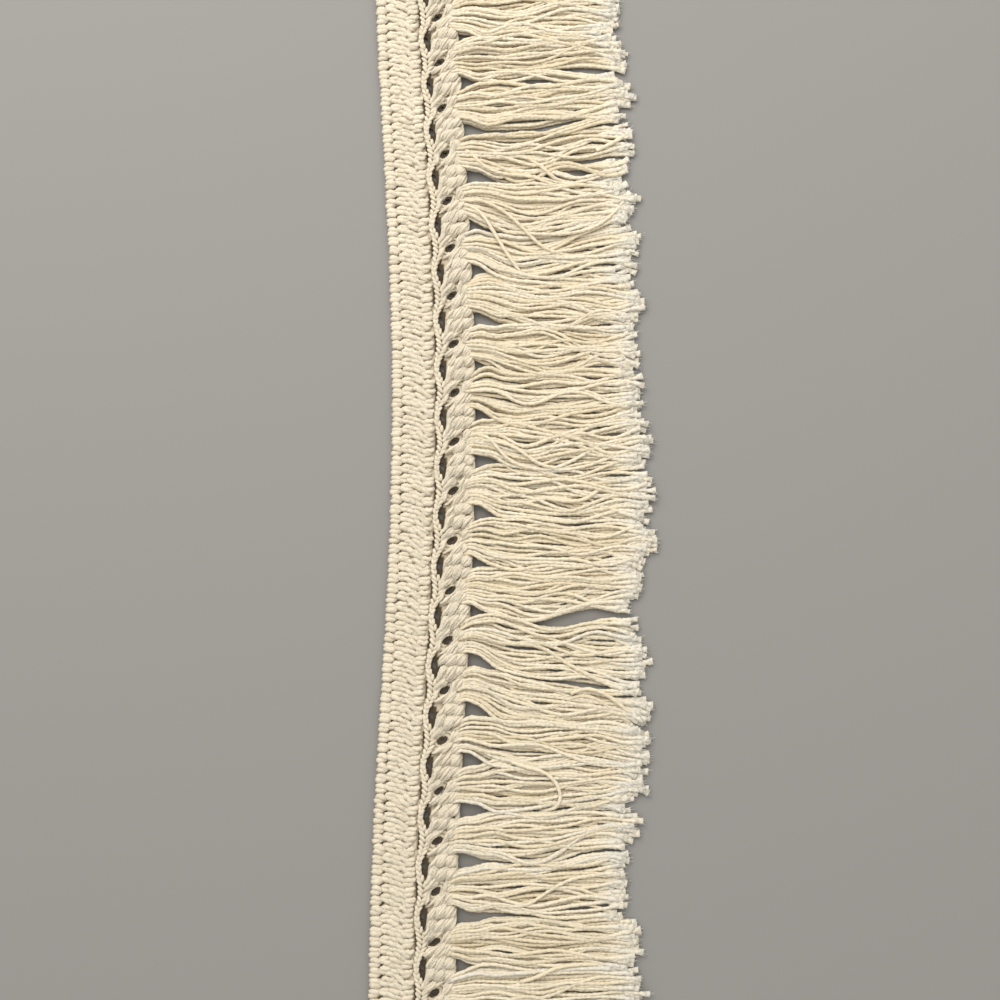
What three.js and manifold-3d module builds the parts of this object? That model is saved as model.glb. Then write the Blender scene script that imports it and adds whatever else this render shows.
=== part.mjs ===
// Chainette fringe trim: a knitted cotton heading with bundles of cut yarn along one edge.
// Millimetres, +Z up. The trim lies on the plane z = 0, its length along Y, its fringe towards +X.
import * as THREE from 'three';
import { mergeVertices } from 'three/addons/utils/BufferGeometryUtils.js';
import Module from 'manifold-3d';

// The cut length: one bundle of yarn to each pattern repeat
const REPEATS = 24;
const PITCH = 11.8;
const LENGTH = REPEATS * PITCH;

// How the trim lies: its selvage wanders in a long, soft wave
const SELVAGE_X = -31.2;
const SELVAGE_LEAN = -0.005;
const SWAY = 2.49;
const SWAY_LENGTH = 273;
const SWAY_PEAK = 13;

// Knitted heading: five courses to a repeat, each raised as one rib and one furrow
const COURSES_PER_REPEAT = 5;
const ROWS_PER_REPEAT = 2 * COURSES_PER_REPEAT;
const RIB_RISE = 0.4;
const BEAD_RISE = 0.3;
const CLUSTER_RISE = 0.9;
const CHAIN_SWING = 0.65;

// Ridges and hollows across the heading, from the selvage to the edge chain.
// rib, swing and cluster say how much of each of those forms a line of points takes.
const HEADING_LINES = [
  { across: 0.0, height: 0.8, rib: 0.5, swing: 0.0, cluster: 0.0 },
  { across: 1.0, height: 2.2, rib: 1.0, swing: 0.0, cluster: 0.0 },
  { across: 2.7, height: 1.8, rib: 0.5, swing: 0.0, cluster: 0.0 },
  { across: 5.6, height: 2.3, rib: 1.0, swing: 0.0, cluster: 0.0 },
  { across: 9.0, height: 2.3, rib: 1.0, swing: 0.2, cluster: 0.0 },
  { across: 10.5, height: 1.4, rib: 0.3, swing: 0.5, cluster: 0.0 },
  { across: 11.7, height: 2.2, rib: 0.0, swing: 1.0, cluster: 0.0 },
  { across: 13.5, height: 1.6, rib: 0.0, swing: 0.2, cluster: 0.7 },
  { across: 16.1, height: 2.0, rib: 0.0, swing: 0.0, cluster: 1.0 },
  { across: 18.6, height: 1.3, rib: 0.0, swing: 0.0, cluster: 0.6 },
];

// Open holes of the heading: across and along are mm from the selvage and from the hole's own centre
const SLIT_OUTLINE = [
  { across: 13.0, along: -2.9 },
  { across: 12.8, along: 0.2 },
  { across: 12.9, along: 2.6 },
  { across: 12.0, along: 2.6 },
  { across: 11.5, along: 0.2 },
  { across: 12.5, along: -2.9 },
];
const EYE_OUTLINE = [
  { across: 14.6, along: -0.9 },
  { across: 16.0, along: -1.0 },
  { across: 16.9, along: 0.1 },
  { across: 16.4, along: 1.0 },
  { across: 15.0, along: 0.8 },
];
const CUT_DEPTH = 8;

// Section of the edge chain that carries the fringe, a narrow strip beside the heading
const CHAIN_SECTION = [
  { across: 18.95, height: 0.0 },
  { across: 20.4, height: 0.0 },
  { across: 20.3, height: 2.2 },
  { across: 19.6, height: 2.5 },
  { across: 18.95, height: 1.9 },
];

// Locks of yarn in a bundle: two layers, the lower one flat on the table. base: underside of a lock,
// root: its underside in the edge chain, shift: how far the layer sits aside, in shares of a lock
const LOCKS_PER_LAYER = 5;
const THROAT = 6.9;
const ROOT_ACROSS = 19.6;
const ROOT_WIDTH = 0.9;
const LOCK_CLEARANCE = 0.45;
const LOCK_STATIONS = [0, 0.12, 0.34, 1];
const FLARE_POWER = 4;
const RAGGED_TIP = 1.3;
const GOLDEN_RATIO = (Math.sqrt(5) - 1) / 2;
const LOCK_LAYERS = [
  { base: 0.0, root: 0.25, height: 0.85, shift: 0.0 },
  { base: 1.2, root: 1.2, height: 0.85, shift: 0.3 },
];

// Bundles from the near end to the far end. reach: selvage to tips. parting: how far the tips' upper
// border drifts along the trim, towards the far end. notch: the open wedge left above the tips.
const BUNDLES = [
  { reach: 62.4, parting: -0.3, notch: 0.0 },
  { reach: 62.6, parting: 0.0, notch: 0.0 },
  { reach: 62.4, parting: 0.7, notch: 0.0 },
  { reach: 60.4, parting: 4.5, notch: 0.5 },
  { reach: 61.4, parting: 4.8, notch: 0.6 },
  { reach: 62.2, parting: 2.0, notch: 0.0 },
  { reach: 63.8, parting: -0.8, notch: 0.0 },
  { reach: 63.0, parting: -3.8, notch: 2.0 },
  { reach: 61.6, parting: 2.4, notch: 3.2 },
  { reach: 61.4, parting: 0.9, notch: 0.0 },
  { reach: 62.8, parting: -0.7, notch: 0.0 },
  { reach: 62.6, parting: 0.4, notch: 0.0 },
  { reach: 62.2, parting: -0.2, notch: 0.0 },
  { reach: 60.6, parting: -0.7, notch: 0.0 },
  { reach: 60.2, parting: -2.9, notch: 0.0 },
  { reach: 60.8, parting: -5.0, notch: 0.5 },
  { reach: 60.0, parting: -0.8, notch: 0.4 },
  { reach: 60.2, parting: -3.7, notch: 0.6 },
  { reach: 60.4, parting: 1.0, notch: 0.5 },
  { reach: 60.8, parting: -0.8, notch: 0.0 },
  { reach: 60.6, parting: -0.2, notch: 0.0 },
  { reach: 59.8, parting: 0.0, notch: 0.0 },
  { reach: 60.2, parting: 0.0, notch: 0.0 },
  { reach: 60.6, parting: 0.0, notch: 0.0 },
];

// A point of the lying trim: across from the selvage, along the length, height off the table
function lay(across, along, height) {
  const turn = (2 * Math.PI * (along - SWAY_PEAK)) / SWAY_LENGTH;
  const selvage = SELVAGE_X + SELVAGE_LEAN * along + SWAY * Math.cos(turn);
  const slope = SELVAGE_LEAN - ((2 * Math.PI * SWAY) / SWAY_LENGTH) * Math.sin(turn);
  const stretch = Math.hypot(1, slope);
  return new THREE.Vector3(selvage + across / stretch, along - (across * slope) / stretch, height);
}

// Middle of a repeat, where its bundle leaves the heading
function repeatCentre(index) {
  return (index + 0.5) * PITCH - LENGTH / 2;
}

// 1 at the middle of each repeat, -1 between repeats
function repeatWave(along) {
  return -Math.cos((2 * Math.PI * along) / PITCH);
}

// Closed skin through matching sections, each a ring of points seen counter-clockwise from its start
function skin(sections, startFaces) {
  const around = sections[0].length;
  const last = (sections.length - 1) * around;
  const faces = [];
  for (let row = 0; row < last; row += around) {
    for (let corner = 0; corner < around; corner += 1) {
      const next = (corner + 1) % around;
      faces.push(row + corner, row + around + next, row + next);
      faces.push(row + corner, row + around + corner, row + around + next);
    }
  }
  for (const [a, b, c] of startFaces) {
    faces.push(a, b, c, last + a, last + c, last + b);
  }
  const geometry = new THREE.BufferGeometry();
  geometry.setFromPoints(sections.flat());
  geometry.setIndex(faces);
  return geometry;
}

// Skin of a strip that runs the whole length: profile gives its section at each place
function strip(profile, rowsPerRepeat) {
  const rows = REPEATS * rowsPerRepeat;
  const sections = [];
  for (let row = 0; row <= rows; row += 1) {
    const along = (row / rows) * LENGTH - LENGTH / 2;
    sections.push(profile(row, along).map((p) => lay(p.x, along, p.y)));
  }
  return skin(sections, THREE.ShapeUtils.triangulateShape(profile(0, -LENGTH / 2), []));
}

// Heading's section: flat underside, then the knitted ridges back from the edge chain to the selvage
function headingProfile(row, along) {
  const rib = row % 2 === 0 ? 0.5 : -0.5;
  const wave = repeatWave(along);
  const top = HEADING_LINES.map((line) => {
    const bead = line.across === 0 ? BEAD_RISE * (0.5 - rib) : 0;
    const across = line.across + bead + line.swing * CHAIN_SWING * wave;
    const puff = (line.cluster * CLUSTER_RISE * (1 - wave)) / 2;
    return new THREE.Vector2(across, line.height + line.rib * RIB_RISE * rib + puff);
  });
  const widest = top[top.length - 1].x;
  return [new THREE.Vector2(top[0].x, 0), new THREE.Vector2(widest, 0), ...top.reverse()];
}

// Edge chain's section, the same all along
function chainProfile() {
  return CHAIN_SECTION.map((p) => new THREE.Vector2(p.across, p.height));
}

// Prism that cuts one hole through the heading
function holeCutter(outline, centre) {
  const rim = outline.map((p) => lay(p.across, centre + p.along, 0));
  const shape = new THREE.Shape(rim.map((p) => new THREE.Vector2(p.x, p.y)));
  const prism = new THREE.ExtrudeGeometry(shape, { depth: CUT_DEPTH, bevelEnabled: false });
  return prism.translate(0, 0, -CUT_DEPTH / 2);
}

// Irregular number from -1 to 1 for each lock in turn, so that no two neighbours are cut alike
function uneven(turn) {
  return 2 * ((turn * GOLDEN_RATIO) % 1) - 1;
}

// Borders of a bundle at its tips, measured along the trim
function tipBorders(index) {
  const below = index === 0 ? { parting: 0, notch: 0 } : BUNDLES[index - 1];
  const own = BUNDLES[index];
  const centre = repeatCentre(index);
  return {
    near: centre - PITCH / 2 + below.parting + below.notch / 2,
    far: centre + PITCH / 2 + own.parting - own.notch / 2,
  };
}

// One lock: a three-sided yarn that leaves the edge chain, flares and lies out to its tip
function lockSkin(index, layerIndex, place) {
  const layer = LOCK_LAYERS[layerIndex];
  const { near, far } = tipBorders(index);
  const places = LOCKS_PER_LAYER + layer.shift;
  const share = (place + 0.5 + layer.shift) / places;
  const root = repeatCentre(index) + (share - 0.5) * THROAT;
  const tip = near + share * (far - near);
  const tipWidth = (far - near) / places - LOCK_CLEARANCE;
  const turn = (index * LOCK_LAYERS.length + layerIndex) * LOCKS_PER_LAYER + place;
  const reach = BUNDLES[index].reach + RAGGED_TIP * uneven(turn);
  const sections = LOCK_STATIONS.map((station) => {
    const flare = 1 - (1 - station) ** FLARE_POWER;
    const across = ROOT_ACROSS + station * (reach - ROOT_ACROSS);
    const along = root + flare * (tip - root);
    const half = (ROOT_WIDTH + flare * (tipWidth - ROOT_WIDTH)) / 2;
    const base = station === 0 ? layer.root : layer.base;
    return [
      lay(across, along + half, base),
      lay(across, along - half, base),
      lay(across, along, base + layer.height),
    ];
  });
  return skin(sections, [[0, 1, 2]]);
}

const wasm = await Module();
wasm.setup();

// Solid from a closed geometry, for joining and cutting
function solid(geometry) {
  geometry.deleteAttribute('normal');
  geometry.deleteAttribute('uv');
  const merged = mergeVertices(geometry);
  const vertProperties = new Float32Array(merged.attributes.position.array);
  const triVerts = new Uint32Array(merged.index.array);
  return new wasm.Manifold(new wasm.Mesh({ numProp: 3, vertProperties, triVerts }));
}

// Named mesh from a joined or cut solid
function piece(name, body, material) {
  const mesh = body.getMesh();
  const geometry = new THREE.BufferGeometry();
  geometry.setAttribute('position', new THREE.BufferAttribute(mesh.vertProperties, 3));
  geometry.setIndex(new THREE.BufferAttribute(mesh.triVerts, 1));
  geometry.computeVertexNormals();
  const part = new THREE.Mesh(geometry, material);
  part.name = name;
  return part;
}

// The heading is one knitted piece, open at an eye in each repeat and a slit between repeats
function makeHeading() {
  let body = solid(strip(headingProfile, ROWS_PER_REPEAT));
  for (let index = 0; index < REPEATS; index += 1) {
    body = body.subtract(solid(holeCutter(EYE_OUTLINE, repeatCentre(index))));
    if (index > 0) {
      body = body.subtract(solid(holeCutter(SLIT_OUTLINE, repeatCentre(index) - PITCH / 2)));
    }
  }
  return body;
}

// The fringe is the edge chain with every lock of yarn caught in it
function makeFringe() {
  let body = solid(strip(chainProfile, 1));
  for (let index = 0; index < REPEATS; index += 1) {
    for (let layer = 0; layer < LOCK_LAYERS.length; layer += 1) {
      for (let place = 0; place < LOCKS_PER_LAYER; place += 1) {
        body = body.add(solid(lockSkin(index, layer, place)));
      }
    }
  }
  return body;
}

const headingCotton = new THREE.MeshStandardMaterial({ color: 0xd6c8a9, roughness: 0.95, metalness: 0 });
const fringeCotton = new THREE.MeshStandardMaterial({ color: 0xdfd0b0, roughness: 0.9, metalness: 0 });

const trim = new THREE.Group();
trim.add(piece('heading', makeHeading(), headingCotton));
trim.add(piece('fringe', makeFringe(), fringeCotton));

export default trim;
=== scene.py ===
import math

import bpy
import numpy as np
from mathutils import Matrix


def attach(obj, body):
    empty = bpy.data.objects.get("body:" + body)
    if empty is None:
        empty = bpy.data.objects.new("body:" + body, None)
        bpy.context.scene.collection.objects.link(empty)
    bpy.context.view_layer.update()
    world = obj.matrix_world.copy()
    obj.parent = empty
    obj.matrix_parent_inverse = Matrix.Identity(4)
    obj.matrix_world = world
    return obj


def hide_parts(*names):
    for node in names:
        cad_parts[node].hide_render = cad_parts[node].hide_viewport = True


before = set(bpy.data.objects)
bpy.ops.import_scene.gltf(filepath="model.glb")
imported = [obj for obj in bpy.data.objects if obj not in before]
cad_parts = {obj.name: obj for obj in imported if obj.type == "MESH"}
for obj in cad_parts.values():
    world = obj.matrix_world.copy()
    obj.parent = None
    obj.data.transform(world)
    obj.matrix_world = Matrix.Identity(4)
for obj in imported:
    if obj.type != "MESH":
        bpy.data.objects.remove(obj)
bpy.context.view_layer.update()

# Knitted ground
# The heading is one strip of soft cotton knitted on a crochet machine, open at an eye in each repeat and
# at a slit between repeats. This thin ground is the cloth behind its raised yarns. It lies flat on the
# floor. Round its small openings and pinholes it carries near-black painted shade, and elsewhere its
# cream is darker than the yarns' as painted shade. Sizes are in millimetres.
MILLIMETRE = 0.001
REPEATS = 24
PITCH = 11.8
LENGTH = REPEATS * PITCH
COURSES_PER_REPEAT = 5
COURSE = PITCH / COURSES_PER_REPEAT

SELVAGE_X = -31.2
SELVAGE_LEAN = -0.005
SWAY = 2.49
SWAY_LENGTH = 273.0
SWAY_PEAK = 13.0

# Each kind of opening: across from the selvage, along each repeat, and lean. Then its half sizes, and
# those of the painted shade on the ground round it.
EYE = (15.6, PITCH / 2, 0.35)
EYE_HALF = (0.75, 0.55)
EYE_SHADE = (1.9, 1.6)
SLIT = (12.6, 0.0, -0.16)
SLIT_HALF = (0.45, 2.1)
SLIT_SHADE = (1.7, 3.3)
# The seam is narrower than the spacing of the ground's columns, so no opening is cut; painted shade on the
# ground stands for it.
SEAM = (11.05, PITCH / 2, 0.0)
SEAM_HALF = (0.25, 1.8)
SEAM_SHADE = (0.45, 2.4)
PINHOLE_ACROSS = 2.85
PINHOLE_ALONG = 0.3
PINHOLE_SHADE = 0.6
WHOLE_END = 1.0
TINY = 1e-6

GROUND_WIDTH = (0.9, 18.9)
GROUND_COLUMNS = 30
GROUND_ROWS_PER_REPEAT = 21
GROUND_FLOOR = 0.1
GROUND_TOP = 1.0
GROUND_TINT = 0.7
SHADED_TINT = 0.0

COTTON_BLEACHED = (0.70, 0.665, 0.58)
# The ground's pale cream is made darker than the yarns' as painted shade; its near-black deep colour is
# painted shade round the openings and pinholes.
GROUND_PALE = (0.62, 0.53, 0.39)
GROUND_PAINTED_SHADE = (0.08, 0.061, 0.038)
DEEP_TONE = 0.35
PALE_TONE = 0.62
BLEACHED_TONE = 0.92
TINT_SHARE = 0.5
MOTTLE_SHARE = 0.25
FIBRE_SHARE = 0.3
PLY_PAINTED_SHADING = 0.05
PLIES = 2
PLY_PITCH = 1.3
PLY_RELIEF = 0.6


def lay(across, along, height):
    """Points of the lying trim, in metres, from millimetres across from the selvage, along and up."""
    across, along, height = np.broadcast_arrays(across, along, height)
    turn = 2 * math.pi * (along - SWAY_PEAK) / SWAY_LENGTH
    selvage = SELVAGE_X + SELVAGE_LEAN * along + SWAY * np.cos(turn)
    slope = SELVAGE_LEAN - 2 * math.pi * SWAY / SWAY_LENGTH * np.sin(turn)
    stretch = np.hypot(1, slope)
    return MILLIMETRE * np.stack(
        [selvage + across / stretch, along - across * slope / stretch, height], axis=-1
    )


def from_hole(across, along, hole, half):
    """Place of a point from the nearest hole of a kind, in half sizes, and whether the hole is whole:
    one at the very end of the trim is not cut."""
    hole_across, hole_along, lean = hole
    nearest = np.round((along - hole_along) / PITCH) * PITCH + hole_along
    upward = along - nearest
    aside = across - hole_across - lean * upward
    return aside / half[0], upward / half[1], np.abs(nearest) < LENGTH / 2 - WHOLE_END


def far_from_hole(across, along, hole, half):
    """Distance of a point from the nearest hole of a kind: 1 on an oval of these half sizes."""
    aside, upward, _ = from_hole(across, along, hole, half)
    return np.hypot(aside, upward)


def ground_sheet():
    """Points, faces and tints of a closed thin sheet with its openings left out, the tints painting shade
    round the openings and pinholes.
    """
    columns = GROUND_COLUMNS + 1
    rows = REPEATS * GROUND_ROWS_PER_REPEAT + 1
    layer = rows * columns
    across, along = np.meshgrid(
        np.linspace(*GROUND_WIDTH, columns), np.linspace(-LENGTH / 2, LENGTH / 2, rows)
    )
    kept = np.ones((rows - 1, columns - 1), bool)
    for hole, half in ((EYE, EYE_HALF), (SLIT, SLIT_HALF), (SEAM, SEAM_HALF)):
        aside, upward, whole = from_hole(across, along, hole, half)
        far = np.maximum(np.hypot(aside, upward), TINY)
        within = (far < 1) & whole
        kept &= ~(within[:-1, :-1] & within[:-1, 1:] & within[1:, :-1] & within[1:, 1:])
        to_rim = np.where(within, 1 / far - 1, 0)
        moved = upward * to_rim * half[1]
        across = across + aside * half[0] * to_rim + hole[2] * moved
        along = along + moved
    points = np.stack([lay(across, along, GROUND_FLOOR), lay(across, along, GROUND_TOP)])

    # Painted shade: the ground round each eye, slit, seam and pinhole takes the near-black tint.
    course = (along + LENGTH / 2 - PINHOLE_ALONG) / COURSE
    from_pinhole = np.hypot(across - PINHOLE_ACROSS, (course - np.round(course)) * COURSE)
    shaded = from_pinhole < PINHOLE_SHADE
    for hole, shade in ((EYE, EYE_SHADE), (SLIT, SLIT_SHADE), (SEAM, SEAM_SHADE)):
        shaded |= far_from_hole(across, along, hole, shade) < 1
    tint = np.tile(np.where(shaded, SHADED_TINT, GROUND_TINT).ravel(), 2)

    index = np.arange(layer).reshape(rows, columns)
    corners = np.stack([index[:-1, :-1], index[:-1, 1:], index[1:, 1:], index[1:, :-1]], axis=-1)
    lower = corners[kept][:, ::-1]
    upper = corners[kept] + layer
    edges = np.concatenate([upper[:, [corner, (corner + 1) % 4]] for corner in range(4)])
    forward = edges[:, 0] * 2 * layer + edges[:, 1]
    backward = edges[:, 1] * 2 * layer + edges[:, 0]
    rim = edges[~np.isin(forward, backward)]
    walls = np.stack([rim[:, 1], rim[:, 0], rim[:, 0] - layer, rim[:, 1] - layer], axis=-1)
    used, faces = np.unique(np.concatenate([upper, lower, walls]), return_inverse=True)
    return points.reshape(-1, 3)[used], faces.reshape(-1, 4), tint[used]


def mesh_piece(name, points, faces, tint, smooth=True):
    """Object from arrays of points, in metres, faces, and a tint for each point."""
    mesh = bpy.data.meshes.new(name)
    mesh.from_pydata(points.reshape(-1, 3), [], faces)
    mesh.polygons.foreach_set("use_smooth", np.full(len(mesh.polygons), smooth))
    mesh.update()
    tints = mesh.attributes.new("tint", "FLOAT", "POINT")
    tints.data.foreach_set("value", tint.astype(np.float32))
    piece = bpy.data.objects.new(name, mesh)
    bpy.context.scene.collection.objects.link(piece)
    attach(piece, "root")
    return piece


def cotton(name, pale, deep):
    """Soft matte cotton that glows a little in the light: mottled and streaked with fibres along the yarn,
    with painted shade in its ply grooves and painted highlight on their crests, deeper where tint is low (on
    the ground, painted shade round its openings) and bleached where it is high."""
    material = bpy.data.materials.new(name)
    material.use_nodes = True
    nodes, links = material.node_tree.nodes, material.node_tree.links
    shader = nodes["Principled BSDF"]
    shader.inputs["Roughness"].default_value = 0.92
    shader.inputs["Specular IOR Level"].default_value = 0.15
    shader.inputs["Subsurface Weight"].default_value = 0.15
    shader.inputs["Subsurface Radius"].default_value = (1.0, 0.95, 0.85)
    shader.inputs["Subsurface Scale"].default_value = 0.0008
    shader.inputs["Sheen Weight"].default_value = 0.12
    shader.inputs["Sheen Roughness"].default_value = 0.45
    shader.inputs["Sheen Tint"].default_value = (1.0, 0.96, 0.88, 1.0)

    def calculate(operation, *values):
        """Math node whose inputs are numbers or the outputs of other nodes."""
        node = nodes.new("ShaderNodeMath")
        node.operation = operation
        for socket, value in zip(node.inputs, values):
            if isinstance(value, bpy.types.NodeSocket):
                links.new(value, socket)
            else:
                socket.default_value = value
        return node.outputs["Value"]

    tint = nodes.new("ShaderNodeAttribute")
    tint.attribute_name = "tint"
    place = nodes.new("ShaderNodeTexCoord")
    mottle = nodes.new("ShaderNodeTexNoise")
    mottle.inputs["Scale"].default_value = 260
    mottle.inputs["Detail"].default_value = 4
    links.new(place.outputs["Object"], mottle.inputs["Vector"])

    yarn = nodes.new("ShaderNodeUVMap")
    yarn.uv_map = "yarn"
    along_yarn = nodes.new("ShaderNodeMapping")
    along_yarn.inputs["Scale"].default_value = (14, 1.3, 1)
    links.new(yarn.outputs["UV"], along_yarn.inputs["Vector"])
    fibre = nodes.new("ShaderNodeTexNoise")
    fibre.inputs["Scale"].default_value = 1.0
    fibre.inputs["Detail"].default_value = 3
    links.new(along_yarn.outputs["Vector"], fibre.inputs["Vector"])
    chart = nodes.new("ShaderNodeSeparateXYZ")
    links.new(yarn.outputs["UV"], chart.inputs["Vector"])
    round_yarn = calculate("MULTIPLY", chart.outputs["X"], PLIES * 2 * math.pi)
    turned = calculate("MULTIPLY_ADD", chart.outputs["Y"], 2 * math.pi / PLY_PITCH, round_yarn)
    ply = calculate("SINE", turned)

    tone = calculate("MULTIPLY", tint.outputs["Fac"], TINT_SHARE)
    tone = calculate("MULTIPLY_ADD", mottle.outputs["Fac"], MOTTLE_SHARE, tone)
    tone = calculate("MULTIPLY_ADD", fibre.outputs["Fac"], FIBRE_SHARE, tone)
    # Painted shade and highlight: the ply grooves darken a little and their crests pale, in step with the
    # bump.
    tone = calculate("MULTIPLY_ADD", ply, PLY_PAINTED_SHADING, tone)
    ramp = nodes.new("ShaderNodeValToRGB")
    ramp.color_ramp.elements[0].position = DEEP_TONE
    ramp.color_ramp.elements[0].color = (*deep, 1)
    ramp.color_ramp.elements[1].position = PALE_TONE
    ramp.color_ramp.elements[1].color = (*pale, 1)
    ramp.color_ramp.elements.new(BLEACHED_TONE).color = (*COTTON_BLEACHED, 1)
    links.new(tone, ramp.inputs["Fac"])
    links.new(ramp.outputs["Color"], shader.inputs["Base Color"])

    bump = nodes.new("ShaderNodeBump")
    bump.inputs["Strength"].default_value = 0.5
    bump.inputs["Distance"].default_value = 0.00012
    relief = calculate("MULTIPLY_ADD", ply, PLY_RELIEF, fibre.outputs["Fac"])
    links.new(relief, bump.inputs["Height"])
    links.new(bump.outputs["Normal"], shader.inputs["Normal"])
    return material


ground = mesh_piece("knitted_ground", *ground_sheet(), smooth=False)
ground.data.materials.append(cotton("ground_cotton", GROUND_PALE, GROUND_PAINTED_SHADE))
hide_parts("heading")

# Dense band
# Close wales of small wavy stitches in soft cotton yarn, two stitches to a course and five courses to a
# repeat, knitted into the ground. The first wale turns round the selvage in beads. Beside it the two
# stitches of each course draw together, which leaves a row of pinholes.
SEED = 24
STITCHES_PER_COURSE = 2
STITCHES = REPEATS * COURSES_PER_REPEAT * STITCHES_PER_COURSE
STITCH_STEP = COURSE / STITCHES_PER_COURSE
STITCH_POINTS = 7
STITCH_ARCH = 0.3
STITCH_TAPER = 0.2
STITCH_WAVE = 0.2
STITCH_FLAT = 0.62
STITCH_GROOVE = 0.06
STITCH_TINT = 0.5
PINHOLE_DRAW = 0.24
YARN_TURN = 5.5
UNEVEN_WAVE = 0.4
UNEVEN_RISE = 0.15
UNEVEN_HEIGHT = 0.08
UNEVEN_RADIUS = 0.08
UNEVEN_TINT = 0.07
HEADING_PALE = (0.75, 0.672, 0.53)
HEADING_DEEP = (0.64, 0.56, 0.42)

# from, to: across from the selvage. rise: slant along the trim. shift: along, so that the wales lock into
# each other. pair: how much two stitches of a course draw together. loose: unevenness. stagger: how far
# they step aside in turn. radius and height: of the yarn.
BAND_ROWS = (
    (0.65, 3.0, 0.6, 0.0, 0.1, 0.06, 0.05, 0.82, 1.25),
    (2.7, 5.6, 0.5, 0.55, 0.1, 0.08, 0.15, 0.72, 1.35),
    (4.5, 7.4, -0.3, 0.1, 0.1, 0.12, 0.5, 0.72, 1.4),
    (6.1, 9.2, -1.1, -0.4, 0.14, 0.14, 0.5, 0.72, 1.4),
    (8.0, 10.5, 1.0, -0.35, 0.1, 0.09, 0.15, 0.72, 1.4),
)

rng = np.random.default_rng(SEED)
stitch_share = np.linspace(0, 1, STITCH_POINTS)
stitch_rows = (np.arange(STITCHES)[:, None] + 0.5) * STITCH_STEP - LENGTH / 2


def spin(name, paths, radius, tint, groove, turn=YARN_TURN, sides=6, flat=1.0):
    """Joined mesh of twisted yarns. paths holds one row of points in metres for each yarn, and radius
    is in millimetres."""
    count, steps, _ = paths.shape
    radius = MILLIMETRE * np.broadcast_to(radius, (count, steps))
    tint = np.broadcast_to(tint, (count, steps))
    onward = np.gradient(paths, axis=1)
    onward /= np.linalg.norm(onward, axis=2, keepdims=True)
    aside = np.cross((0.0, 0.0, 1.0), onward)
    aside /= np.linalg.norm(aside, axis=2, keepdims=True)
    upward = np.cross(onward, aside)
    run = np.zeros((count, steps))
    run[:, 1:] = np.cumsum(np.linalg.norm(np.diff(paths, axis=1), axis=2), axis=1) / MILLIMETRE
    run += rng.uniform(0, turn, (count, 1))

    corner = np.arange(sides)
    angle = 2 * math.pi * (corner / sides + run[:, :, None] / turn)
    reach = radius[:, :, None] * (1 + groove * np.where(corner % 2 == 0, 1, -1))
    rings = (
        paths[:, :, None, :]
        + (reach * np.cos(angle))[..., None] * aside[:, :, None, :]
        + (reach * np.sin(angle) * flat)[..., None] * upward[:, :, None, :]
    )

    first = (np.arange(count * steps) * sides).reshape(count, steps)[:, :-1, None]
    here, beside = first + corner, first + (corner + 1) % sides
    skins = np.stack([here, beside, beside + sides, here + sides], axis=-1).reshape(-1, 4)
    starts = (np.arange(count) * steps * sides)[:, None] + corner[::-1]
    ends = ((np.arange(count) + 1) * steps * sides - sides)[:, None] + corner
    faces = skins.tolist() + starts.tolist() + ends.tolist()
    piece = mesh_piece(name, rings, faces, np.repeat(tint, sides))

    round_it = (corner[:, None] + (0, 1, 1, 0)) / sides
    run_it = np.stack([run[:, :-1], run[:, :-1], run[:, 1:], run[:, 1:]], axis=-1)[:, :, None, :]
    chart = np.stack(np.broadcast_arrays(round_it, run_it), axis=-1).reshape(-1, 2)
    caps = np.repeat(np.concatenate([run[:, 0], run[:, -1]]), sides)
    chart = np.concatenate([chart, np.stack([np.zeros_like(caps), caps], axis=-1)])
    uv = piece.data.uv_layers.new(name="yarn")
    uv.data.foreach_set("uv", chart.astype(np.float32).ravel())
    return piece


def band_wale(start, end, rise, shift, pair, loose, stagger, radius, height):
    """Paths and radii of one wale's stitches, thick in the middle and drawn in at both ends."""
    side = np.where(np.arange(STITCHES) % 2, 1, -1)[:, None]
    sunk = 1 - np.sqrt(np.sin(math.pi * stitch_share))
    uneven = rng.standard_normal((3, STITCHES, 1))
    across = start + (end - start) * stitch_share
    drawn = pair + PINHOLE_DRAW * np.exp(-(((across - PINHOLE_ACROSS) / PINHOLE_SHADE) ** 2))
    wave = STITCH_WAVE * (1 + UNEVEN_WAVE * uneven[2]) * np.sin(2 * math.pi * stitch_share)
    slant = rise * (1 + UNEVEN_RISE * uneven[1]) * (stitch_share - 0.5)
    along = stitch_rows - side * drawn + shift + loose * uneven[0] + slant + wave
    across = across + 2 * loose * uneven[2] + side * stagger
    up = height - STITCH_ARCH * sunk + UNEVEN_HEIGHT * uneven[2]
    thick = radius * (1 - STITCH_TAPER * sunk) * (1 + UNEVEN_RADIUS * uneven[1])
    return lay(across, np.clip(along, -LENGTH / 2, LENGTH / 2), up), thick


band_paths, band_radius = (np.concatenate(kind) for kind in zip(*[band_wale(*row) for row in BAND_ROWS]))
band = spin(
    "band_stitches",
    band_paths,
    band_radius,
    STITCH_TINT + UNEVEN_TINT * rng.standard_normal((len(band_paths), 1)),
    groove=STITCH_GROOVE,
    flat=STITCH_FLAT,
)
heading_cotton = cotton("heading_cotton", HEADING_PALE, HEADING_DEEP)
band.data.materials.append(heading_cotton)

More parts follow.
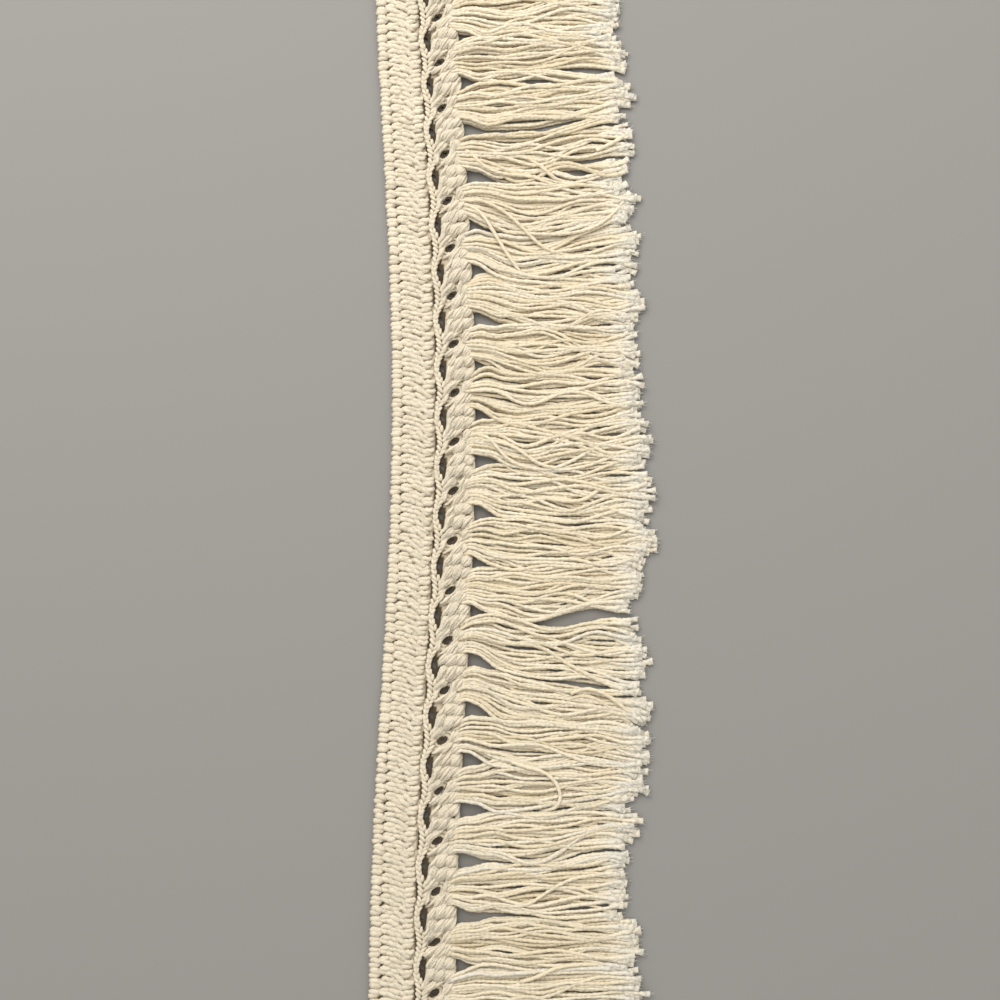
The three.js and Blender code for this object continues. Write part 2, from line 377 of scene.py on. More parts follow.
# Chain strip
# A wale of small V stitches of the same yarn, knitted on beside the band. It swings towards the clusters
# at each eye, where a thin seam opens behind it, shown only as painted shade on the ground, and back to
# the band between eyes, where the tall slits open before it.
STRIP_ACROSS = 11.35
STRIP_SWING = 1.4
STRIP_HALF_WIDTH = 0.4
STRIP_SPREAD = 0.85
STRIP_MEETING = 0.05
STRIP_RISE = 1.5
STRIP_RADIUS = 0.46
STRIP_TAPER = 0.25
STRIP_HEIGHT = 1.5
STRIP_ARCH = 0.2
STRIP_FLAT = 0.8
UNEVEN_STRIP_ROW = 0.08
UNEVEN_STRIP = 0.06


def repeat_wave(along):
    """1 at the middle of each repeat, where its bundle leaves, and -1 between repeats."""
    return -np.cos(2 * math.pi * along / PITCH)


def strip_leg(side):
    """Paths of one leg of every V stitch."""
    uneven = rng.standard_normal((2, STITCHES, 1))
    along = stitch_rows + UNEVEN_STRIP_ROW * uneven[0] + STRIP_RISE * (stitch_share - 0.5)
    along = np.clip(along, -LENGTH / 2, LENGTH / 2)
    towards_eye = (1 + repeat_wave(along)) / 2
    half_width = STRIP_HALF_WIDTH + STRIP_SPREAD * towards_eye
    from_middle = half_width * (STRIP_MEETING + (1 - STRIP_MEETING) * stitch_share)
    across = STRIP_ACROSS + STRIP_SWING * towards_eye + side * from_middle + UNEVEN_STRIP * uneven[1]
    height = STRIP_HEIGHT + STRIP_ARCH * np.sin(math.pi * stitch_share) + UNEVEN_STRIP * uneven[1]
    return lay(across, along, height)


strip_paths = np.concatenate([strip_leg(side) for side in (-1, 1)])
strip = spin(
    "chain_strip",
    strip_paths,
    STRIP_RADIUS * (1 - STRIP_TAPER * (1 - np.sin(math.pi * stitch_share))),
    STITCH_TINT + UNEVEN_TINT * rng.standard_normal((len(strip_paths), 1)),
    groove=STITCH_GROOVE,
    flat=STRIP_FLAT,
)
strip.data.materials.append(heading_cotton)

# Clusters
# Between the eyes the same yarn is worked thick and loose, in three columns of slanting leaf-like
# stitches of a few fine plies each. They swell above the band and sink beside each eye, and the knitting
# draws them apart round the eyes and slits.
EYE_REACH = 2.2
SLIT_REACH = 2.0
YARN_CLEARANCE = 0.5
HOLE_CORE = 0.55
LEAVES_PER_REPEAT = 4
LEAVES = REPEATS * LEAVES_PER_REPEAT
LEAF_STEP = PITCH / LEAVES_PER_REPEAT
LEAF_POINTS = 10
LEAF_PLIES = (-0.84, -0.42, 0.0, 0.42, 0.84)
LEAF_GATHER = 0.3
LEAF_SPREAD = 0.85
LEAF_HEIGHT = 1.2
LEAF_ARCH = 0.8
LEAF_SWELL = 0.5
LEAF_ROUND = 0.5
LEAF_RADIUS = 0.32
LEAF_THICKER = 0.15
LEAF_GROOVE = 0.08
LEAF_TURN = 4.5
LEAF_TINT = 0.58
SWELL_RADIUS = (0.95, 0.1)
UNEVEN_LEAF = 0.25
UNEVEN_PLY = 0.1
UNEVEN_LEAF_RISE = 0.14
UNEVEN_LEAF_HEIGHT = 0.12
UNEVEN_LEAF_TINT = 0.06

# from, to: across from the selvage. rise: along the trim.
LEAF_COLUMNS = (
    (12.9, 16.2, 4.2),
    (15.3, 18.5, 4.2),
    (17.8, 20.3, 3.0),
)


def open_hole(across, along, hole, half, reach):
    """Pushes yarns aside round the holes of one kind."""
    aside, upward, whole = from_hole(across, along, hole, half)
    far = np.hypot(aside, upward)
    pushed = np.where((far < reach) & whole, 1 + far * (reach - 1) / reach, far)
    grow = np.where(far > TINY, pushed / np.maximum(far, TINY) - 1, 0)
    moved = upward * grow * half[1]
    return across + aside * grow * half[0] + hole[2] * moved, along + moved


def leaf_column(start, end, rise):
    """Plies of one column's slanting stitches: their paths and radii."""
    share = np.linspace(0, 1, LEAF_POINTS)
    arch = np.sin(math.pi * share)
    row = (np.arange(LEAVES)[:, None, None] + 0.5) * LEAF_STEP - LENGTH / 2
    row = row + UNEVEN_LEAF * rng.standard_normal((LEAVES, 1, 1))
    ply = np.array(LEAF_PLIES)[:, None] + UNEVEN_PLY * rng.standard_normal((LEAVES, len(LEAF_PLIES), 1))
    rise = rise * (1 + UNEVEN_LEAF_RISE * rng.standard_normal((LEAVES, 1, 1)))
    slope = np.arctan2(rise, end - start)
    aside = ply * (LEAF_GATHER + LEAF_SPREAD * arch)
    across = start + share * (end - start) - aside * np.sin(slope)
    along = row + rise * (share - 0.5) + aside * np.cos(slope)
    swell = (1 - repeat_wave(along)) / 2
    height = LEAF_HEIGHT + arch * (LEAF_ARCH + LEAF_SWELL * swell) - LEAF_ROUND * ply**2
    height = height + UNEVEN_LEAF_HEIGHT * rng.standard_normal(ply.shape)
    radius = (LEAF_RADIUS + LEAF_THICKER * arch) * (SWELL_RADIUS[0] + SWELL_RADIUS[1] * swell)

    along = np.clip(along, -LENGTH / 2, LENGTH / 2)
    from_eye = far_from_hole(across, along, EYE, EYE_HALF)
    from_slit = far_from_hole(across, along, SLIT, SLIT_HALF)
    clear = (np.minimum(from_eye, from_slit).min(axis=-1) > HOLE_CORE).ravel()
    for hole, half, reach in ((EYE, EYE_HALF, EYE_REACH), (SLIT, SLIT_HALF, SLIT_REACH)):
        cleared = [size + YARN_CLEARANCE for size in half]
        across, along = open_hole(across, along, hole, cleared, reach)
    paths = lay(across, along, height).reshape(-1, LEAF_POINTS, 3)
    return paths[clear], radius.reshape(-1, LEAF_POINTS)[clear]


leaf_paths, leaf_radius = (np.concatenate(kind) for kind in zip(*[leaf_column(*row) for row in LEAF_COLUMNS]))
clusters = spin(
    "cluster_stitches",
    leaf_paths,
    leaf_radius,
    LEAF_TINT + UNEVEN_LEAF_TINT * rng.standard_normal((len(leaf_paths), 1)),
    groove=LEAF_GROOVE,
    turn=LEAF_TURN,
)
clusters.data.materials.append(heading_cotton)

# Eye loops
# Round each eye two loops of the same yarn lie low between the leaves, where the knitting turns round
# the opening.
LOOP_POINTS = 24
LOOP_RADIUS = 0.55
LOOP_GROOVE = 0.1

# outside the eye's clearance, and up
LOOP_ROWS = ((0.4, 0.75), (1.25, 1.0))


def eye_loops(outside, height):
    """Paths of one loop round every eye."""
    turn = np.linspace(0, 2 * math.pi, LOOP_POINTS)
    half = [size + YARN_CLEARANCE + outside for size in EYE_HALF]
    middle = ((np.arange(REPEATS) + 0.5) * PITCH - LENGTH / 2)[:, None]
    upward = half[1] * np.sin(turn)
    return lay(EYE[0] + half[0] * np.cos(turn) + EYE[2] * upward, middle + upward, height)


loop_paths = np.concatenate([eye_loops(*row) for row in LOOP_ROWS])
loops = spin("eye_loops", loop_paths, LOOP_RADIUS, STITCH_TINT, groove=LOOP_GROOVE)
loops.data.materials.append(heading_cotton)

# Edge chain
# The last wale: a firm chain of the same yarn along the heading's edge, in which every bundle of fringe
# is caught. It sinks under each bundle and shows as a smooth bowed edge in the gaps between bundles.
EDGE_ACROSS = 19.85
EDGE_BOW = 0.25
EDGE_HEIGHT = 0.95
EDGE_SINK = 0.1
EDGE_ARCH = 0.2
EDGE_HALF_WIDTH = 0.2
EDGE_MEETING = 0.35
EDGE_STAGGER = 0.12
EDGE_SLIP = 0.5
EDGE_RADIUS = 0.45
EDGE_TAPER = 0.15
EDGE_GROOVE = 0.1
EDGE_STITCHES = 2 * REPEATS
EDGE_STITCH_POINTS = 9
edge_along = np.linspace(-LENGTH / 2, LENGTH / 2, EDGE_STITCHES * EDGE_STITCH_POINTS + 1)
edge_wave = repeat_wave(edge_along)
edge_open = np.sin(math.pi * ((np.arange(len(edge_along)) / EDGE_STITCH_POINTS + EDGE_SLIP) % 1))
edge_part = EDGE_HALF_WIDTH * (EDGE_MEETING + (1 - EDGE_MEETING) * edge_open)
edge_legs = [
    lay(
        EDGE_ACROSS - EDGE_BOW * edge_wave + side * edge_part,
        edge_along + side * EDGE_STAGGER,
        EDGE_HEIGHT - EDGE_SINK * edge_wave + EDGE_ARCH * edge_open,
    )
    for side in (-1, 1)
]
edge_radius = EDGE_RADIUS * (1 - EDGE_TAPER * (1 - edge_open))
edge_chain = spin("edge_chain", np.stack(edge_legs), edge_radius, STITCH_TINT, groove=EDGE_GROOVE)
edge_chain.data.materials.append(heading_cotton)

# Fringe yarns
# Bundles of soft plied cotton in three layers of small locks. Each is caught beside an eye and squeezed
# through a throat in the edge chain, then flares flat on the floor to tips cut a little unevenly by hand.
YARNS_PER_BUNDLE = 40
YARNS_PER_LOCK = 5
LOCKS = YARNS_PER_BUNDLE // YARNS_PER_LOCK
YARN_POINTS = 40
TIP_POINTS = 4
YARN_RADIUS = 0.49
YARN_FLAT = 0.85
YARN_GROOVE = 0.1
FRINGE_TURN = 8.5
FRINGE_PALE = (0.785, 0.70, 0.535)
FRINGE_DEEP = (0.69, 0.59, 0.41)
FRINGE_STRETCHES = (("near", 0, 6), ("lower", 6, 12), ("upper", 12, 18), ("far", 18, 24))

# Stations are across from the selvage. HALF_WIDTHS, ARCH and THROAT_RISE hold at the stations above them,
# the drifts of BUNDLE_ROWS at DRIFT_STATIONS, and FADE_IN where something sets in between two stations.
ROOT_ACROSS = 17.9
WIDTH_STATIONS = (17.9, 21.4, 27.6, 36.0)
HALF_WIDTHS = (3.2, 3.5, 5.6, 5.9)
EARLIER_FLARE = 2.5
ARCH_STATIONS = (18.5, 22.5, 28.0)
ARCH = (0.0, 0.9, 0.0)
ARCH_DROP = -0.2
DRIFT_STATIONS = (17.0, 21.0, 34.0, 58.0)
TIP_SPREAD_STATIONS = (36.0, 58.0)
WANDER_STATIONS = (21.0, 31.0)
THROAT_STATIONS = (17.9, 20.2)
THROAT_RISE = (0.55, 1)
SETTLE_STATIONS = (21.0, 28.0)
FLATTEN_STATIONS = (45.0, 60.0)
FADE_IN = (0, 1)

# Heights and liveliness of the three layers, lowest first.
THROAT_HEIGHTS = (1.1, 1.7, 2.35)
LAYER_HEIGHTS = (0.47, 1.05, 1.6)
TIP_HEIGHTS = (0.47, 0.8, 1.15)
LAYER_LIFE = (0.25, 1.0, 1.4)
UNEVEN_LAYER = 0.1
RIPPLE = 0.08
RIPPLE_LENGTH = 2.3

# Places within a bundle run from -1 at its near side to 1 at its far side.
ROOT_STRAY = 0.12
STRAY_SHARE = 0.5
TIP_STRAY = (0.5, 0.1)
LOCK_GATHER = (1, 0.8)
TIP_PLACE_LIMIT = 1.05
RAGGED_TIP = 0.7
RAGGED_LOCK = 0.9
ROUNDED_TIPS = 2.2
BRUSH_ROOM = 0.6
NOTCH = 0.9

LOCK_BEND = (0.25, 0.95)
LOCK_BEND_LENGTH = (3.4, 6.0)
YARN_BEND = 0.26
YARN_BEND_LENGTH = (2.2, 4.2)
CRIMP = 0.04
CRIMP_LENGTH = 1.2
CURL = 0.5
CURL_SHARE = (0.8, 0.2)
SWELL_SHARES = (0, 0.1, 0.9, 0.96, 1)
SWELL = (0.9, 1, 1, 1.3, 1.3)
UNEVEN_YARN = 0.08

YARN_TINT = 0.5
UNEVEN_YARN_TINT = 0.12
UNEVEN_LOCK_TINT = 0.11
TIP_TINT = 0.6
TIP_TINT_SHARE = (0.82, 0.16)
TIP_TINT_RUSH = 1.5
NEAR_SIDE_TINT = 0.2
NEAR_SIDE = 0.5

# reach: selvage to tips. leaving, middle: drift of the bundle towards the far end at the throat and half
# way out. parting: drift of the tips' upper border. notch: the open wedge above the tips. Rows run from
# the near end to the far end.
BUNDLE_COLUMNS = ("reach", "leaving", "middle", "parting", "notch")
BUNDLE_ROWS = (
    (62.4, 0.5, 0.5, -0.3, 0.0),
    (62.6, 0.6, 0.7, 0.0, 0.0),
    (62.4, 0.6, 0.8, 0.7, 0.0),
    (60.4, 1.3, 1.2, 4.5, 0.5),
    (61.4, 1.5, 1.8, 4.8, 0.6),
    (62.2, 1.5, 2.0, 2.0, 0.0),
    (63.8, 1.6, 0.2, -0.8, 0.0),
    (63.0, 1.6, -1.9, -3.8, 2.0),
    (61.6, 1.3, -1.1, 2.4, 3.2),
    (61.4, 1.1, 0.1, 0.9, 0.0),
    (62.8, 0.9, -0.3, -0.7, 0.0),
    (62.6, 0.8, -0.9, 0.4, 0.0),
    (62.2, 0.5, -1.3, -0.2, 0.0),
    (60.6, 0.0, -1.8, -0.7, 0.0),
    (60.2, -0.2, -1.9, -2.9, 0.0),
    (60.8, -0.4, -2.7, -5.0, 0.5),
    (60.0, -0.6, -4.2, -0.8, 0.4),
    (60.2, -0.8, -3.9, -3.7, 0.6),
    (60.4, -0.7, -2.6, 1.0, 0.5),
    (60.8, -0.5, -0.6, -0.8, 0.0),
    (60.6, 0.2, 0.6, -0.2, 0.0),
    (59.8, -0.7, -1.0, 0.0, 0.0),
    (60.2, -0.5, -0.8, 0.0, 0.0),
    (60.6, -0.4, -0.5, 0.0, 0.0),
)
bundles = {name: np.array(values) for name, values in zip(BUNDLE_COLUMNS, zip(*BUNDLE_ROWS))}

# Neighbouring yarns of a lock lie in different layers.
yarn_order = np.arange(YARNS_PER_BUNDLE)
yarn_lock = yarn_order // YARNS_PER_LOCK
yarn_layer = (yarn_order * 2 + yarn_lock) % len(LAYER_HEIGHTS)
yarn_life = np.array(LAYER_LIFE)[yarn_layer][:, None]
yarn_share = np.linspace(0, 1, YARN_POINTS)


def ease_through(stations, values, at):
    """Smooth steps from value to value at the stations."""
    stations, values = np.asarray(stations, float), np.asarray(values, float)
    at = np.clip(at, stations[0], stations[-1])
    step = np.clip(np.searchsorted(stations, at, side="right") - 1, 0, len(stations) - 2)
    share = (at - stations[step]) / (stations[step + 1] - stations[step])
    share = share * share * (3 - 2 * share)
    return values[step] + share * (values[step + 1] - values[step])


def last_part(begin, length):
    """0 along a yarn up to where its last part begins, then evenly up to 1, in shares of the yarn."""
    return np.clip((yarn_share - begin) / length, 0, 1)


def bundle_places(index):
    """Where each yarn of a bundle lies at its root and at its tip, and how far its tip reaches."""
    place = (yarn_order + 0.5) / YARNS_PER_BUNDLE * 2 - 1
    middle = (yarn_lock + 0.5) / LOCKS * 2 - 1
    root_stray = ROOT_STRAY * yarn_life * rng.standard_normal((YARNS_PER_BUNDLE, 1))
    root_place = np.clip(place[:, None] + root_stray, -1, 1)
    strays = (yarn_layer > 0) & (rng.random(YARNS_PER_BUNDLE) < STRAY_SHARE)
    tip_place = middle + np.where(yarn_layer == 0, *LOCK_GATHER) * (place - middle)
    tip_place = tip_place + np.where(strays, *TIP_STRAY) * rng.standard_normal(YARNS_PER_BUNDLE)
    tip_place = np.clip(tip_place, -TIP_PLACE_LIMIT, TIP_PLACE_LIMIT)[:, None]
    ragged = RAGGED_TIP * rng.standard_normal((YARNS_PER_BUNDLE, 1))
    ragged = ragged + RAGGED_LOCK * rng.standard_normal((LOCKS, 1))[yarn_lock]
    reach = bundles["reach"][index] - BRUSH_ROOM + ragged - ROUNDED_TIPS * tip_place**2
    return root_place, tip_place, reach


def bundle_drift(index, across, tip_place):
    """How far the bundle drifts along the trim: at its throat, half way out and at its tips."""
    opening = bundles["notch"] + NOTCH
    above = bundles["parting"][index] - opening[index] / 2
    below = bundles["parting"][index - 1] + opening[index - 1] / 2 if index else 0
    tip = ((1 + tip_place) * above + (1 - tip_place) * below) / 2
    leaving, middle = bundles["leaving"][index], bundles["middle"][index]
    drift = ease_through(DRIFT_STATIONS, (0, leaving, middle, middle), across)
    return drift + (tip - middle) * ease_through(DRIFT_STATIONS[-2:], FADE_IN, across)


def yarn_wander(across):
    """Bends of the yarns, each with its lock and on its own, and where each yarn's ripple starts."""
    lock_start = rng.uniform(0, 2 * math.pi, (LOCKS, 1))[yarn_lock]
    lock_bend = rng.uniform(*LOCK_BEND, (LOCKS, 1))[yarn_lock] * yarn_life
    lock_length = rng.uniform(*LOCK_BEND_LENGTH, (LOCKS, 1))[yarn_lock]
    start, ripple_start = rng.uniform(0, 2 * math.pi, (2, YARNS_PER_BUNDLE, 1))
    length = rng.uniform(*YARN_BEND_LENGTH, (YARNS_PER_BUNDLE, 1))
    wander = (
        lock_bend * np.sin(across / lock_length + lock_start)
        + YARN_BEND * yarn_life * np.sin(across / length + start)
        + CRIMP * np.sin(across / CRIMP_LENGTH + ripple_start)
    )
    return wander, ripple_start


def yarn_height(across, ripple_start):
    """Heights of the yarns: piled up in the throat, then settled in layers, and low at the tips."""
    throat, rest, tip = (
        np.array(heights)[yarn_layer][:, None] for heights in (THROAT_HEIGHTS, LAYER_HEIGHTS, TIP_HEIGHTS)
    )
    settle = ease_through(SETTLE_STATIONS, FADE_IN, across)
    flatten = ease_through(FLATTEN_STATIONS, FADE_IN, across)
    throat = throat * ease_through(THROAT_STATIONS, THROAT_RISE, across)
    height = throat * (1 - settle) + settle * (rest * (1 - flatten) + tip * flatten)
    height = height + UNEVEN_LAYER * rng.standard_normal((YARNS_PER_BUNDLE, 1))
    return height + RIPPLE * np.sin(across / RIPPLE_LENGTH + ripple_start)


def bundle_yarns(index):
    """Paths, radii and tints of one bundle's yarns."""
    root_place, tip_place, reach = bundle_places(index)
    across = ROOT_ACROSS + yarn_share * (reach - ROOT_ACROSS)
    earlier = np.where(root_place > 0, *rng.uniform(-EARLIER_FLARE, EARLIER_FLARE, 2))
    width = ease_through(WIDTH_STATIONS, HALF_WIDTHS, across + earlier)
    spread = ease_through(TIP_SPREAD_STATIONS, FADE_IN, across) * PITCH / 2
    arch = ease_through(ARCH_STATIONS, ARCH, across) * np.clip(root_place, ARCH_DROP, 1)
    wander, ripple_start = yarn_wander(across)
    curl = CURL * rng.standard_normal((YARNS_PER_BUNDLE, 1)) * last_part(*CURL_SHARE) ** 2
    along = (
        (index + 0.5) * PITCH
        - LENGTH / 2
        + root_place * width
        + (tip_place - root_place) * spread
        + bundle_drift(index, across, tip_place)
        + arch
        + wander * ease_through(WANDER_STATIONS, FADE_IN, across)
        + curl
    )
    height = yarn_height(across, ripple_start)
    radius = YARN_RADIUS * (1 + UNEVEN_YARN * rng.standard_normal((YARNS_PER_BUNDLE, 1)))
    radius = radius * ease_through(SWELL_SHARES, SWELL, yarn_share)
    tint = YARN_TINT + UNEVEN_YARN_TINT * rng.standard_normal((YARNS_PER_BUNDLE, 1))
    tint = tint + UNEVEN_LOCK_TINT * rng.standard_normal((LOCKS, 1))[yarn_lock]
    tint = tint + TIP_TINT * last_part(*TIP_TINT_SHARE) ** TIP_TINT_RUSH
    tint = tint + NEAR_SIDE_TINT * np.maximum(-root_place - NEAR_SIDE, 0)
    return lay(across, along, np.maximum(height, radius)), radius, tint


def tip_and_way(paths):
    """Last point of each yarn, and the way that its last few points run."""
    return np.stack([paths[:, -1], paths[:, -1] - paths[:, -TIP_POINTS]], axis=1)


fringe_cotton = cotton("fringe_cotton", FRINGE_PALE, FRINGE_DEEP)
tip_ends = []
for stretch, first, last in FRINGE_STRETCHES:
    made = [bundle_yarns(index) for index in range(first, last)]
    paths, radius, tint = (np.concatenate(kind) for kind in zip(*made))
    yarns = spin(
        f"fringe_yarns_{stretch}", paths, radius, tint, groove=YARN_GROOVE, turn=FRINGE_TURN, flat=YARN_FLAT
    )
    yarns.data.materials.append(fringe_cotton)
    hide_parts("fringe")
    tip_ends.append(tip_and_way(paths))

# Loose strands
# A few yarns of the same plied cotton that have left their bundles and lie across the others. Those that
# end low dip under their neighbours, and the rest end in a frayed tip.
LOOSE_POINTS = 30
LOOSE_TINT = 0.5
UNEVEN_LOOSE_TINT = 0.1
FRAYED_HEIGHT = 0.75
CORNER_CUTS = 4
CORNER_CUT = 0.25

# across from the selvage, along the trim and up, for the corners of each strand
LOOSE_STRANDS = (
    (
        (28.1, 56.8, 0.8), (35.4, 55.2, 2.3), (42.7, 54.6, 2.4),
        (50.2, 55.4, 2.2), (55.9, 58.8, 1.6), (60.1, 63.7, 0.9),
    ),
    (
        (18.2, 65.0, 1.3), (23.0, 64.4, 2.5), (26.4, 62.9, 2.6), (30.2, 60.4, 2.5),
        (34.0, 56.3, 2.4), (37.2, 52.7, 2.3), (40.5, 50.5, 2.0), (47.4, 49.7, 0.6),
    ),
    (
        (18.2, 63.6, 1.3), (21.4, 62.9, 2.5), (24.3, 60.2, 2.6), (26.5, 56.1, 2.4),
        (28.6, 52.1, 2.3), (31.1, 48.1, 2.2), (34.3, 44.0, 0.6),
    ),
    ((20.6, 44.1, 0.8), (21.4, 45.8, 0.9), (24.1, 46.4, 0.8), (28.5, 45.7, 0.8), (33.8, 44.3, 0.6)),
    ((20.5, 26.1, 1.2), (22.9, 24.6, 0.9), (25.8, 24.3, 0.8), (29.7, 24.9, 0.6)),
    ((20.3, 14.8, 1.2), (22.8, 13.3, 0.9), (25.7, 12.1, 0.8), (29.6, 12.6, 0.6)),
    (
        (18.2, 6.4, 1.3), (21.0, 7.4, 2.4), (23.7, 6.9, 2.6), (25.9, 4.5, 2.5),
        (28.6, 1.5, 2.3), (32.5, -0.1, 2.0), (37.6, -0.7, 1.8), (42.4, -0.5, 0.6),
    ),
    (
        (18.2, 5.7, 1.3), (22.0, 6.3, 2.5), (28.6, 5.3, 2.5), (32.0, 3.4, 2.4),
        (35.4, 0.9, 2.2), (39.3, -0.3, 2.0), (44.9, 0.0, 0.6),
    ),
    ((35.3, -6.6, 0.8), (41.3, -7.9, 2.3), (46.2, -7.8, 2.2), (49.5, -6.1, 1.8), (52.4, -2.9, 0.6)),
    (
        (45.4, -52.3, 2.0), (48.9, -50.7, 2.2), (53.0, -51.5, 2.1),
        (56.9, -53.9, 1.7), (59.9, -56.3, 1.2), (62.5, -57.3, 0.8),
    ),
    ((44.5, -53.8, 1.6), (48.2, -52.4, 1.6), (52.6, -53.4, 1.5), (56.0, -56.0, 1.1), (60.0, -58.4, 0.8)),
    (
        (20.8, 77.1, 2.2), (22.7, 75.2, 2.5), (25.5, 72.0, 2.3), (30.3, 70.2, 2.1),
        (37.2, 69.5, 2.0), (41.5, 67.0, 1.8), (48.4, 66.6, 0.6),
    ),
    ((35.1, 74.7, 0.8), (38.9, 72.2, 2.2), (41.9, 68.7, 2.0), (46.5, 67.0, 0.6)),
    ((53.0, 75.1, 1.6), (56.6, 76.4, 1.9), (59.2, 77.8, 1.5), (61.2, 79.4, 1.0)),
    ((35.6, -121.3, 1.6), (40.3, -119.7, 2.2), (44.0, -117.5, 2.2), (50.6, -116.8, 1.8), (56.7, -117.5, 0.6)),
    (
        (29.5, -68.0, 0.9), (34.8, -69.9, 2.4), (40.1, -70.8, 2.3), (43.3, -73.5, 2.2),
        (44.4, -77.1, 2.0), (43.3, -79.5, 1.8), (39.5, -80.6, 0.6),
    ),
)


def soften(corners):
    """Evenly spaced points on a soft line that cuts the corners."""
    line = np.array(corners)
    for _ in range(CORNER_CUTS):
        way = line[1:] - line[:-1]
        cuts = np.stack([line[:-1] + CORNER_CUT * way, line[1:] - CORNER_CUT * way], axis=1).reshape(-1, 3)
        line = np.concatenate([line[:1], cuts, line[-1:]])
    run = np.concatenate([[0], np.cumsum(np.linalg.norm(np.diff(line, axis=0), axis=1))])
    even = np.linspace(0, run[-1], LOOSE_POINTS)
    return np.stack([np.interp(even, run, line[:, axis]) for axis in range(3)], axis=-1)


loose_lines = np.stack([soften(corners) for corners in LOOSE_STRANDS])
loose_paths = lay(loose_lines[..., 0], loose_lines[..., 1], loose_lines[..., 2])
loose_tint = LOOSE_TINT + UNEVEN_LOOSE_TINT * rng.standard_normal((len(loose_paths), 1))
loose = spin("loose_strands", loose_paths, YARN_RADIUS, loose_tint, groove=YARN_GROOVE, turn=FRINGE_TURN)
loose.data.materials.append(fringe_cotton)
tip_ends.append(tip_and_way(loose_paths[loose_lines[:, -1, 2] > FRAYED_HEIGHT]))

# Flared tips
# The cut ends of the yarns: the plies come apart and spread into flat pale brushes, each with a few
# loose fibres that stick out.
BRUSH_POINTS = 5
BRUSH_BACK = 3.2
BRUSH_FORWARD = (0.2, 1.2)
BRUSH_BEND = 0.35
BRUSH_HALF_WIDTH = (0.42, 0.44, 0.52, 0.66, 0.82)
BRUSH_FLAT = 0.42
BRUSH_SIDES = 8
BRUSH_GROOVE = 0.05
BRUSH_TURN = 60.0
BRUSH_TINT = (0.8, 1.15)
UNEVEN_BRUSH = 0.14
UNEVEN_BRUSH_TINT = 0.08
FIBRES_PER_TIP = 3
FIBRE_POINTS = 3
FIBRE_SIDES = 4
FIBRE_RADII = (0.108, 0.09, 0.054)
FIBRE_ASIDE = 0.55
FIBRE_FAN = 0.22
FIBRE_REACH = (0.9, 2.1)
FIBRE_TINT = 1.3
ends = np.concatenate(tip_ends)
tip_onward = ends[:, 1] / np.linalg.norm(ends[:, 1], axis=1, keepdims=True)
brush_share = np.linspace(0, 1, BRUSH_POINTS)[None, :, None]
brush_forward = MILLIMETRE * rng.uniform(*BRUSH_FORWARD, (len(ends), 1, 1))
brush_start = ends[:, None, 0] - MILLIMETRE * BRUSH_BACK * tip_onward[:, None]
brush_end = ends[:, None, 0] + brush_forward * tip_onward[:, None]
brush_paths = brush_start + brush_share * (brush_end - brush_start)
brush_bend = MILLIMETRE * BRUSH_BEND * rng.standard_normal((len(ends), 1))
brush_paths[..., 1] += brush_bend * brush_share[..., 0] ** 2
brush = spin(
    "flared_tips",
    brush_paths,
    np.array(BRUSH_HALF_WIDTH) * (1 + UNEVEN_BRUSH * rng.standard_normal((len(ends), 1))),
    np.linspace(*BRUSH_TINT, BRUSH_POINTS) + UNEVEN_BRUSH_TINT * rng.standard_normal((len(ends), 1)),
    groove=BRUSH_GROOVE,
    turn=BRUSH_TURN,
    sides=BRUSH_SIDES,
    flat=BRUSH_FLAT,
)

fibre_root = np.repeat(brush_paths[:, -2], FIBRES_PER_TIP, axis=0)
fibre_onward = np.repeat(tip_onward, FIBRES_PER_TIP, axis=0)
fibre_aside = rng.uniform(-1, 1, (len(fibre_root), 1)) * (0.0, 1.0, 0.0)
fibre_root = fibre_root + MILLIMETRE * FIBRE_ASIDE * fibre_aside
fibre_onward = fibre_onward + FIBRE_FAN * fibre_aside
fibre_reach = MILLIMETRE * rng.uniform(*FIBRE_REACH, (len(fibre_root), 1, 1))
fibre_share = np.linspace(0, 1, FIBRE_POINTS)[None, :, None]
fibre_paths = fibre_root[:, None] + fibre_share * fibre_reach * fibre_onward[:, None]
fibre_paths[..., 2] = np.maximum(fibre_paths[..., 2], MILLIMETRE * max(FIBRE_RADII))
fibres = spin("frayed_fibres", fibre_paths, FIBRE_RADII, FIBRE_TINT, groove=0.0, sides=FIBRE_SIDES)
for ending in (brush, fibres):
    ending.data.materials.append(fringe_cotton)

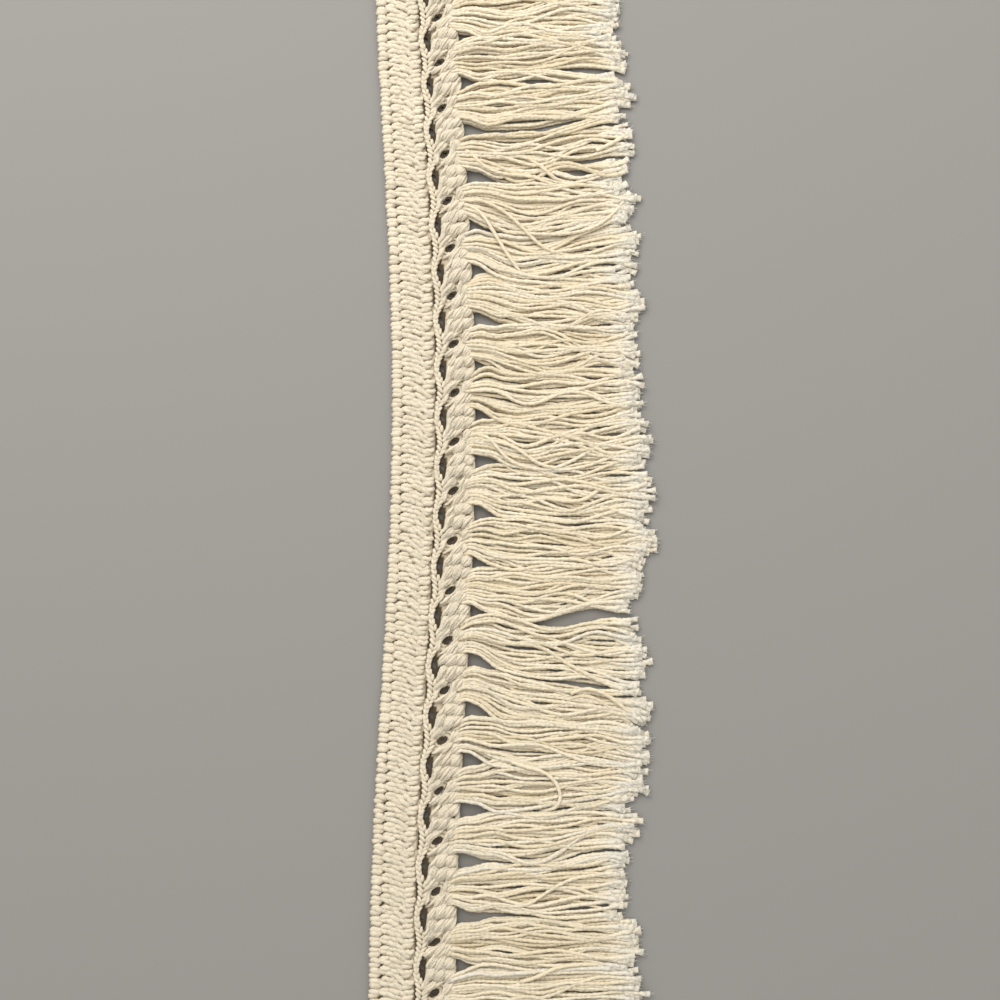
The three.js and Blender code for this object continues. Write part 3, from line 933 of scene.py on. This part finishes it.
# Floor, light and camera
# A plain pale floor, two wide soft lights from above the far end, and a camera that looks almost straight
# down on the trim. The floor and the lights are in metres.
FLOOR_HALF = 2.0
FLOOR_GREY = (0.265, 0.257, 0.245)
floor_mesh = bpy.data.meshes.new("floor")
floor_corners = [(x * FLOOR_HALF, y * FLOOR_HALF, 0) for x, y in ((-1, -1), (1, -1), (1, 1), (-1, 1))]
floor_mesh.from_pydata(floor_corners, [], [(0, 1, 2, 3)])
floor = bpy.data.objects.new("floor", floor_mesh)
bpy.context.scene.collection.objects.link(floor)
floor_finish = bpy.data.materials.new("floor_finish")
floor_finish.use_nodes = True
floor_shader = floor_finish.node_tree.nodes["Principled BSDF"]
floor_shader.inputs["Base Color"].default_value = (*FLOOR_GREY, 1)
floor_shader.inputs["Roughness"].default_value = 0.7
floor_shader.inputs["Specular IOR Level"].default_value = 0.2
floor_mesh.materials.append(floor_finish)

# name, place, size, power and colour
LIGHTS = (
    ("main_light", (-0.22, 0.42, 0.5), 0.56, 3.5, (1.0, 0.975, 0.94)),
    ("fill_light", (0.28, 0.5, 0.55), 0.8, 1.75, (1.0, 0.98, 0.95)),
)
for name, place, size, power, colour in LIGHTS:
    light = bpy.data.lights.new(name, "AREA")
    light.size = size
    light.energy = power
    light.color = colour
    lamp = bpy.data.objects.new(name, light)
    lamp.location = place
    away = np.array(place) / np.linalg.norm(place)
    lamp.rotation_euler = (math.acos(away[2]), 0, math.atan2(away[0], -away[1]))
    bpy.context.scene.collection.objects.link(lamp)

world = bpy.data.worlds.new("studio")
world.use_nodes = True
world.node_tree.nodes["Background"].inputs["Color"].default_value = (1.0, 0.983, 0.952, 1)
world.node_tree.nodes["Background"].inputs["Strength"].default_value = 0.76
bpy.context.scene.world = world
bpy.context.scene.view_settings.view_transform = "Standard"

LOOK_AT = (-2.13, -8.28)
CAMERA_DISTANCE = 303.0
CAMERA_TILT = math.radians(5.21)
camera_data = bpy.data.cameras.new("camera")
camera_data.lens = 45.0
camera_data.sensor_width = 36.0
camera_data.clip_start = 0.01
camera = bpy.data.objects.new("camera", camera_data)
camera.location = (
    LOOK_AT[0] * MILLIMETRE,
    (LOOK_AT[1] - CAMERA_DISTANCE * math.sin(CAMERA_TILT)) * MILLIMETRE,
    CAMERA_DISTANCE * math.cos(CAMERA_TILT) * MILLIMETRE,
)
camera.rotation_euler = (CAMERA_TILT, 0, 0)
bpy.context.scene.collection.objects.link(camera)
bpy.context.scene.camera = camera
